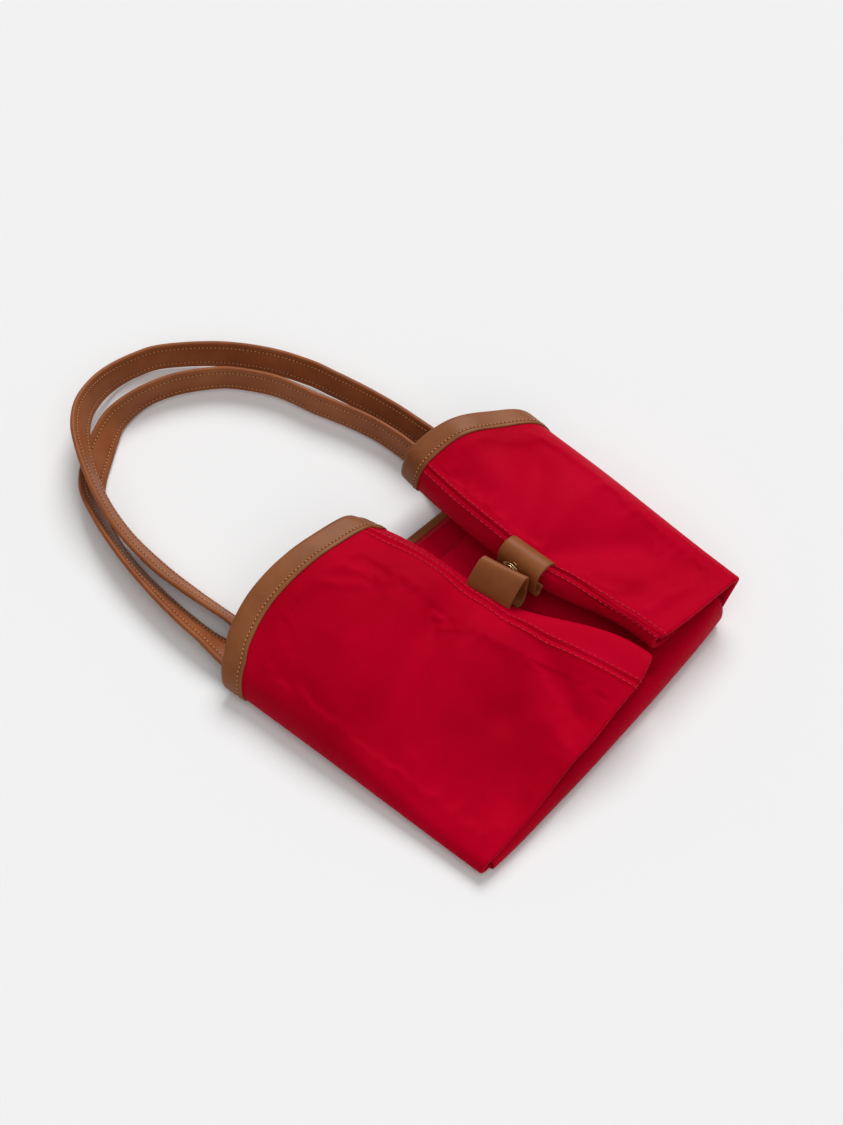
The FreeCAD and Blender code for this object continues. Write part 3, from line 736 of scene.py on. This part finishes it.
for wing in WINGS:
    points = face_out(wing.shell(), wing.inward)
    shell = cloth_sheet(wing.name + "_shell", points, 0.5, NYLON)
    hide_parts(wing.flap + "_back_upper", wing.flap + "_back_lower",
                wing.flap + "_side_seam")
    across_fold(shell)
    strip, row, row_n = binding_strip(wing, 0.0, wing.last - 0.4)
    binding = cloth_sheet(wing.name + "_binding", face_out(strip.transpose(1, 0, 2), wing.inward),
                          0.05, BINDING)
    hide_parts(wing.flap + "_back_binding")
    across_fold(binding)
    for piece in stitches(wing.name + "_binding_stitches", [(row, row_n)], TAN_THREAD, TAN_HOLE_SHADE,
                          radius=0.36):
        across_fold(piece)
    rows = [seam_row(wing, side, BINDING_WIDE + 0.6) for side in (-SEAM_HALF, SEAM_HALF)]
    carry(stitches(wing.name + "_seam_stitches", rows, RED_THREAD, RED_HOLE_SHADE, dash=2.3, gap=1.1,
                   radius=0.26), wing.flap)

# ---------------------------------------------------------------- inner panels of the wings


def inner_panel(wing):
    """Lower layer of the wing's opening: from beside the fold to the inner edge."""
    near_fold, fold_end, low_mouth, low_end = wing.inner
    shares = np.linspace(0.0, 1.0, 46)
    q = np.linspace(0.0, 1.0, 60)
    grid = np.zeros((len(q), len(shares), 3))
    for i, share in enumerate(q):
        m = wing.mouth_y(shares) - 1.5
        y = m + (wing.end_y(shares) + 6.0 - m) * share
        fold = wing.fold(y)
        wide = (wing.edge(y) - fold) * wing.inward
        w = float(smooth((share - wing.blend_from) / (1.0 - wing.blend_from)))
        start = near_fold + (fold_end - near_fold) * w
        low = low_mouth + (low_end - low_mouth) * w
        x = fold + wing.inward * (start + (wide - 3.0 - start) * shares)
        rise = 1.6 * np.sin(math.pi * shares) * (1 - smooth(share * 1.4))
        z = np.minimum(low + rise, np.maximum(wing.top(x, y) - 3.2, 6.0))
        grid[i] = np.stack([x, y, z], -1)
    return grid


def flat_binding(grid):
    """Leather folded over the first row of a sheet, with the row its stitches follow."""
    n = grid_normals(grid)[0]
    go = unit(grid[1] - grid[0])
    columns = []
    for s, off in catmull(BINDING_PROFILE, np.linspace(0, len(BINDING_PROFILE) - 1, 46)):
        columns.append(grid[0] + go * s + n * off * FLAT_BINDING_SHARE)
    row = grid[0] + go * BINDING_STITCH + n * FLAT_STITCH_LIFT
    return np.array(columns), row, n


for wing in WINGS:
    grid = inner_panel(wing)
    # the first row is the mouth, so the grid's normal is turned to face up
    if grid_normals(grid)[5, 5, 2] < 0:
        grid = grid[:, ::-1]
    panel = cloth_sheet(wing.name + "_inner_panel", grid, 0.4, NYLON)
    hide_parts(wing.flap + "_front_panel", wing.flap + "_bottom_seam")
    carry([panel], wing.flap)
    strip, row, row_n = flat_binding(grid)
    band = cloth_sheet(wing.name + "_inner_binding", strip, 0.05, BINDING)
    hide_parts(wing.flap + "_front_binding")
    threads = stitches(wing.name + "_inner_binding_stitches", [(row, row_n)], TAN_THREAD,
                       TAN_HOLE_SHADE)
    carry((band, *threads), wing.flap)

# ---------------------------------------------------------------- centre of the bag


def centre_x(share, y):
    """X between the two outer folds."""
    a = NEAR.fold(y) + 7.0
    b = FAR.fold(y) - 7.0 - 9.0 * smooth((-118.0 - y) / 32.0)
    return a + (b - a) * share


def centre_mouth(x):
    return 2.0 - x / 50.0


def centre_end(x):
    return -156.5 + x / 20.0


def centre_grid(profile_at, shares):
    """Sheet across the centre: profile_at(share, x) gives its (y, z) points at a share."""
    columns = []
    for share in shares:
        x0 = centre_x(share, -80.0)
        columns.append([(centre_x(share, y), y, z) for y, z in profile_at(share, x0)])
    return np.array(columns).transpose(1, 0, 2)


def up(grid):
    return grid if grid_normals(grid)[3, len(grid[0]) // 2, 2] > 0 else grid[:, ::-1]


SHARES = np.linspace(0.0, 1.0, 90)


def floor_profile(share, x):
    ys = np.linspace(centre_mouth(x), centre_end(x) + 1.0, 50)
    return [(y, 1.0) for y in ys]


def upper_profile(share, x):
    """Inner panel of the centre: flat from the mouth to the small fold inside the end."""
    ys = np.linspace(centre_mouth(x), centre_end(x) + 8.0, 90)
    droop = 7.2 * (1 - smooth((centre_mouth(x) - ys - 1.5) / 9.0))
    return [(y, 9.9 + 0.25 * math.sin(x / 9.0 + y / 23.0) - d) for y, d in zip(ys, droop)]


WRAP_EDGE, WRAP_EDGE_HIGH, WRAP_ROUND = -25.5, 14.0, 1.7
WRAP_HIGH = Curve1([(-110, 8.0), (-92, 9.5), (-60, 12.5), (0, 14.5), (60, 17.0), (95, 21.0),
                    (112, 23.0)], 8.0)
WRAP_OUT = Curve1([(-110, 4.0), (-80, 6.5), (-20, 8.0), (40, 8.0), (90, 7.0), (112, 5.5)], 8.0)


def wrap_profile(share, x):
    """Outer panel at the end: up from the floor, round, and back over the stack."""
    end, high, out = centre_end(x), float(WRAP_HIGH(x)), float(WRAP_OUT(x))
    mid, half = (high + 0.5) / 2.0, (high - 0.5) / 2.0
    points = [(end + 26.0, 0.45), (end + 12.0, 0.45)]
    for k in range(27):
        a = -math.pi / 2 + math.pi * k / 26
        points.append((end - out * max(0.0, math.cos(a)) ** 0.8 * (1.0 - 0.12 * math.sin(a)),
                       mid + half * math.sin(a)))
    for y in np.linspace(end + 4.0, WRAP_EDGE, 54):
        f = float(smooth((y - end) / 30.0))
        wave = 0.5 * math.sin(x / 13.0 + y / 31.0) * float(smooth((y - end) / 20.0))
        z = high * (1 - f) + WRAP_EDGE_HIGH * f + wave
        at = float(centre_x(share, y))
        for wing in WINGS:
            wide = (wing.edge(y) - wing.fold(y)) * wing.inward
            if 1.0 < (at - wing.fold(y)) * wing.inward < wide:
                z = min(z, float(wing.top(at, y)) - 2.6)
        points.append((y, z))
    for k in range(1, 9):
        a = math.pi / 2 - math.pi * k / 8
        points.append((WRAP_EDGE + WRAP_ROUND * math.cos(a),
                       WRAP_EDGE_HIGH - WRAP_ROUND + WRAP_ROUND * math.sin(a)))
    points.append((WRAP_EDGE - 5.0, WRAP_EDGE_HIGH - 2 * WRAP_ROUND))
    points.append((WRAP_EDGE - 15.0, WRAP_EDGE_HIGH - 3.6))
    return points


floor_grid = up(centre_grid(floor_profile, SHARES))
floor_panel = cloth_sheet("centre_floor_panel", floor_grid, 0.5, NYLON)
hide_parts("centre_back_upper")
upper_grid = up(centre_grid(upper_profile, SHARES))
upper_panel = cloth_sheet("centre_upper_panel", upper_grid, 0.4, NYLON)
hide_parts("centre_front_panel")
wrap_grid = centre_grid(wrap_profile, SHARES)
if grid_normals(wrap_grid)[60, 40, 2] < 0:
    wrap_grid = wrap_grid[:, ::-1]
wrap = cloth_sheet("centre_end_wrap", wrap_grid, 0.5, NYLON)
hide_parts("centre_back_lower", "centre_bottom_seam")
for piece, grid, held, under in ((floor_panel, floor_grid, "laid", ()),
                                 (upper_panel, upper_grid, "laid", ("centre_floor_panel",)),
                                 (wrap, wrap_grid, "folded", ("centre_upper_panel",))):
    carry([piece], "centre")

for name, grid, node in (("centre_floor_binding", up(centre_grid(floor_profile, SHARES[3:-3])),
                          "centre_back_binding"),
                         ("centre_upper_binding", upper_grid, "centre_front_binding")):
    strip, row, row_n = flat_binding(grid)
    if name == "centre_floor_binding":
        strip[..., 2] = np.maximum(strip[..., 2], 0.15)
    band = cloth_sheet(name, strip, 0.05, BINDING)
    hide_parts(node)
    threads = stitches(name + "_stitches", [(row, row_n)], TAN_THREAD, TAN_HOLE_SHADE)
    carry((band, *threads), "centre")

# ---------------------------------------------------------------- shoulder straps

STRAP_WIDE, STRAP_THICK = 17.0, 2.8
STRAP_ROUND = 1.15         # rounding of the strap's edges
STITCH_IN = 5.0            # stitch rows' distance from the strap's middle line
# stations along the part's straps: x, y, height of the middle, lean of the
# upper edge out of the loop in degrees
BACK_HANDLE = ((79, -24, 3.4, 90), (79, -5, 3.4, 90), (79, 8, 3.9, 84), (79, 22, 6.8, 50),
               (78.6, 36, 9.2, 24), (78, 50, 9.6, 20), (77, 66, 9.6, 20), (74, 88, 9.6, 20),
               (70, 108, 9.6, 20), (66, 125, 9.6, 20), (56, 149, 9.6, 20),
               (39, 174, 9.6, 16), (15, 196, 9.6, 12), (-1, 203, 9.6, 12),
               (-17, 205, 10.4, 16), (-33, 200.5, 14.5, 20), (-48, 192, 18.5, 25),
               (-60, 180, 20.5, 27), (-69, 166, 20.8, 24), (-76.5, 150.5, 19.4, 23),
               (-82.5, 133, 16.2, 26), (-86.5, 111, 12.2, 33), (-87.5, 84, 9.8, 39),
               (-86, 62, 8.8, 38), (-84, 44, 8.4, 36), (-82, 28, 8.0, 38),
               (-80.5, 14, 6.0, 66), (-79.5, 2, 3.8, 88), (-79.5, -8, 3.4, 90),
               (-79.5, -24, 3.4, 90))
FRONT_HANDLE = ((62, -24, 6.4, 90), (62, -5, 6.4, 90), (62.2, 8, 6.8, 84), (63, 22, 8.4, 48),
                (63.8, 36, 9.5, 14), (64, 52, 9.6, 8), (62, 70, 9.6, 6),
                (57, 90, 9.6, 5), (52, 106, 9.6, 5), (46, 130, 9.6, 5),
                (35, 150, 9.6, 5), (25, 161.5, 9.6, 5), (6, 174.5, 9.6, 5),
                (-14, 181, 9.6, 6), (-34, 181, 8.8, 24), (-48, 175.5, 7.0, 48),
                (-59.5, 168.5, 5.4, 62), (-71, 159.5, 5.8, 56), (-80.5, 148, 7.2, 44),
                (-88, 131, 8.2, 32), (-93.5, 112, 8.4, 28), (-97, 92, 8.3, 31),
                (-99, 68, 7.9, 38), (-99.5, 48, 7.6, 44), (-99, 32, 7.4, 50),
                (-98, 18, 6.9, 70), (-97, 5, 6.5, 88), (-97, -8, 6.4, 90), (-97, -24, 6.4, 90))


def strap_frames(table, step=1.6):
    """Middle line of a strap with its wide and thin directions."""
    dense = catmull(table, np.linspace(0, len(table) - 1, 2400))
    line = even(dense, step)
    p = line[:, :3]
    go = unit(np.gradient(p, axis=0))
    flat = unit(go * [1, 1, 0])
    side = np.stack([flat[:, 1], -flat[:, 0], 0 * flat[:, 0]], 1)
    lean = np.radians(line[:, 3])[:, None]
    wide = side * np.sin(lean) + np.array([0, 0, 1.0]) * np.cos(lean)
    wide = unit(wide - go * (wide * go).sum(1, keepdims=True))
    return p, wide, unit(np.cross(go, wide))


def strap_outline():
    """Half width, half thickness points round a folded leather strap, rounded at the edges."""
    points = []
    a, b, r = STRAP_WIDE / 2, STRAP_THICK / 2, STRAP_ROUND
    for sx, sy, start in ((1, 1, 0), (-1, 1, 90), (-1, -1, 180), (1, -1, 270)):
        for k in range(6):
            ang = math.radians(start + 18 * k)
            points.append((sx * (a - r) + r * math.cos(ang), sy * (b - r) + r * math.sin(ang)))
        # along the broad face: a slight dip where each stitch row pulls the leather in
        if (sx, sy) in ((1, 1), (-1, -1)):
            for w in (6.6, 5.6, 5.0, 4.4, 3.4, 1.5, -1.5, -3.4, -4.4, -5.0, -5.6, -6.6):
                dip = 0.18 * math.exp(-((abs(w) - STITCH_IN) / 0.6) ** 2)
                swell = 0.10 * (1 - (w / a) ** 2)
                points.append((sx * w, sy * (b - dip + swell)))
    return np.array(points)


def make_strap(name, table, nodes):
    """One shoulder strap with four stitch rows, bending where it leaves the mouth."""
    p, wide, thin = strap_frames(table)
    outline = strap_outline()
    rings = (p[:, None] + wide[:, None] * outline[None, :, :1]
             + thin[:, None] * outline[None, :, 1:])
    strap = tube_piece(name, rings[:, ::-1], STRAP)
    rows = []
    for face in (1, -1):
        for w in (-STITCH_IN, STITCH_IN):
            line = p + wide * w + thin * face * (STRAP_THICK / 2 + 0.02)
            rows.append((line, thin * face))
    thread, shaded_dents = stitches(name + "_stitches", rows, TAN_THREAD, TAN_HOLE_SHADE)
    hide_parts(*nodes)
    for piece in (strap, thread, shaded_dents):
        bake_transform(piece)


make_strap("back_strap", BACK_HANDLE,
           ("back_handle_strap", "back_handle_far_end", "back_handle_near_end"))
make_strap("front_strap", FRONT_HANDLE,
           ("front_handle_strap", "front_handle_far_end", "front_handle_near_end"))

# ---------------------------------------------------------------- tabs and press stud

TAB_THICK = 1.7
TAB_PINCH = (0.35, 0.8, 1.0)       # thickness shares at the tab's cut edges, outermost first


def tab_piece(name, first, second, y_first, y_second, node):
    """Leather strip in a loop, its path changing a little from one end to the other."""
    dense = np.linspace(0, len(first) - 1, 120)
    a = even(catmull(first, dense), 0.7)
    count = len(a)
    b = catmull(second, dense)
    run = np.concatenate([[0], np.cumsum(np.linalg.norm(np.diff(b, axis=0), axis=1))])
    s = np.linspace(0, run[-1], count)
    b = np.stack([np.interp(s, run, b[:, k]) for k in (0, 1)], 1)
    half = TAB_THICK / 2
    rings = []
    shares = np.concatenate([[0, 0.006, 0.02], np.linspace(0.06, 0.94, 15), [0.98, 0.994, 1]])
    pinch = np.array([*TAB_PINCH, *[1.0] * 15, *TAB_PINCH[::-1]])
    for i in range(count):
        ring = []
        for sign, order in ((1, range(len(shares))), (-1, range(len(shares) - 1, -1, -1))):
            for k in order:
                f = shares[k]
                here = a[i] * (1 - f) + b[i] * f
                go = (a[min(i + 1, count - 1)] - a[max(i - 1, 0)]) * (1 - f) \
                    + (b[min(i + 1, count - 1)] - b[max(i - 1, 0)]) * f
                go = go / np.linalg.norm(go)
                n = np.array([-go[1], go[0]])
                bow = 0.25 * math.sin(math.pi * f) * math.sin(i / 7.0)
                at = here + n * (sign * half * pinch[k] + bow)
                ring.append((at[0], y_first + (y_second - y_first) * f, at[1]))
        rings.append(ring)
    obj = tube_piece(name, np.array(rings), TAB)
    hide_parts(node)
    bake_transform(obj)


tab_piece("near_tab",
          ((7.0, 32.6), (9.2, 37.0), (13.0, 42.0), (16.4, 45.2), (18.8, 46.2), (21.0, 45.2),
           (22.4, 42.0), (23.0, 36.5), (22.8, 31.0), (21.4, 27.6), (19.2, 26.2), (16.6, 27.0)),
          ((12.0, 32.6), (14.4, 37.2), (18.4, 42.4), (22.0, 46.0), (24.4, 47.0), (26.2, 46.0),
           (26.4, 42.6), (25.6, 37.0), (25.2, 31.4), (23.8, 27.2), (21.8, 25.4), (19.2, 26.4)),
          STUD[1] + 14.0, STUD[1] - 12.5, "near_tab_loop")
tab_piece("far_tab",
          ((42.0, 44.2), (39.6, 46.6), (36.2, 47.8), (32.6, 47.0), (30.0, 44.4), (29.3, 41.0),
           (29.2, 36.0), (29.4, 31.8), (30.6, 29.4), (32.2, 30.2), (33.8, 33.6)),
          ((43.4, 43.6), (41.4, 45.8), (38.0, 47.0), (33.8, 46.4), (30.8, 44.2), (29.7, 40.6),
           (29.5, 35.6), (29.6, 30.8), (31.0, 28.0), (33.0, 28.8), (35.0, 32.8)),
          STUD[1] + 11.5, STUD[1] - 15.5, "far_tab_loop")


STUD_AXIS_Z = 40.0


def turned(name, profile, body, node, sides=56):
    """Round piece on the stud's axis: profile is (place along X, radius) from rim to middle."""
    rings = []
    a = np.linspace(0, 2 * math.pi, sides, endpoint=False)
    for x, r in profile:
        rings.append(np.stack([0 * a + x, STUD[1] + r * np.cos(a),
                               STUD_AXIS_Z + r * np.sin(a)], 1))
    obj = tube_piece(name, np.array(rings), BRASS)
    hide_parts(node)
    carry([obj], body)


def round_place(node):
    """Where a round solid of the part starts and ends along X, and its radius."""
    low, high = box_mm(node)
    return low[0], high[0], (high[2] - low[2]) / 2.0


x0, x1, r = round_place("snap_stud")
turned("snap_stud_ring", ((x0, 0.4), (x0, r - 0.5), (x0 + 0.1, r - 0.1), (x0 + 0.3, r),
                          (x0 + 0.5, r - 0.2), (x0 + 0.6, r - 0.8), (x0 + 0.5, r - 1.6),
                          (x0 + 0.45, 2.1), (x0 + 0.6, 1.7), (x1 - 0.1, 1.6), (x1, 1.2), (x1, 0.3)),
       "near_tab", "snap_stud")
x0, x1, r = round_place("snap_stud_cap")
turned("snap_stud_cap_dome", ((x1, 0.4), (x1, r - 0.3), (x1 - 0.2, r), (x0 + 0.3, r - 0.2),
                              (x0 + 0.1, r - 1.0), (x0, r - 2.2), (x0 - 0.05, 0.3)),
       "near_tab", "snap_stud_cap")
x0, x1, r = round_place("snap_socket")
turned("snap_socket_ring", ((x0, 2.3), (x0, r - 0.7), (x0 + 0.05, r - 0.2), (x0 + 0.25, r),
                            (x1 - 0.1, r - 0.1), (x1, r - 0.5), (x1, 2.4), (x1 - 0.1, 2.25),
                            (x0 + 0.1, 2.2), (x0, 2.3)),
       "far_tab", "snap_socket")
x0, x1, r = round_place("snap_socket_cap")
turned("snap_socket_cap_dome", ((x0, 0.4), (x0, r - 0.3), (x0 + 0.2, r), (x1 - 0.3, r - 0.2),
                                (x1 - 0.1, r - 1.0), (x1, r - 2.2), (x1 + 0.05, 0.3)),
       "far_tab", "snap_socket_cap")

# ---------------------------------------------------------------- floor, light and camera

FLOOR_HALF = 3000
floor_nodes = Nodes("pale_floor")
floor_nodes.fixed(Base_Color=(0.84, 0.84, 0.84, 1), Roughness=0.9, Specular_IOR_Level=0.05)
floor = mesh_piece("floor", [(x * FLOOR_HALF, y * FLOOR_HALF, 0)
                             for x, y in ((-1, -1), (1, -1), (1, 1), (-1, 1))],
                   [(0, 1, 2, 3)], floor_nodes.material, shade=False)

world = bpy.data.worlds.new("studio")
bpy.context.scene.world = world
world.use_nodes = True
sky = world.node_tree.nodes["Background"].inputs
sky["Color"].default_value = (1, 1, 1, 1)
sky["Strength"].default_value = 0.20


def soft_light(name, energy, spread, towards):
    lamp = add_object(name, bpy.data.lights.new(name, "SUN"))
    lamp.data.energy = energy
    lamp.data.angle = math.radians(spread)
    lamp.rotation_mode = "QUATERNION"
    lamp.rotation_quaternion = Vector(towards).to_track_quat("-Z", "Y")


# broad soft lights, energy and spread in degrees: the main one from behind on the right, a
# weaker one from the front
soft_light("softbox", 2.3, 32.0, (-0.78, -0.46, -1.0))
soft_light("front_fill", 1.12, 70.0, (0.30, 0.36, -0.85))

camera = add_object("camera", bpy.data.cameras.new("camera"))
camera.data.sensor_width = 36.0
camera.data.lens = 58.1
camera.data.clip_start = 0.01
TARGET = Vector((0.0184, -0.0123, 0.0))
AZIMUTH, ELEVATION, DISTANCE = math.radians(-46.18), math.radians(55.13), 1.0
BACK = Vector((math.sin(AZIMUTH) * math.cos(ELEVATION), -math.cos(AZIMUTH) * math.cos(ELEVATION),
               math.sin(ELEVATION)))
camera.location = TARGET + BACK * DISTANCE
camera.rotation_mode = "QUATERNION"
camera.rotation_quaternion = (-BACK).to_track_quat("-Z", "Y")
bpy.context.scene.camera = camera
bpy.context.scene.view_settings.view_transform = "Standard"
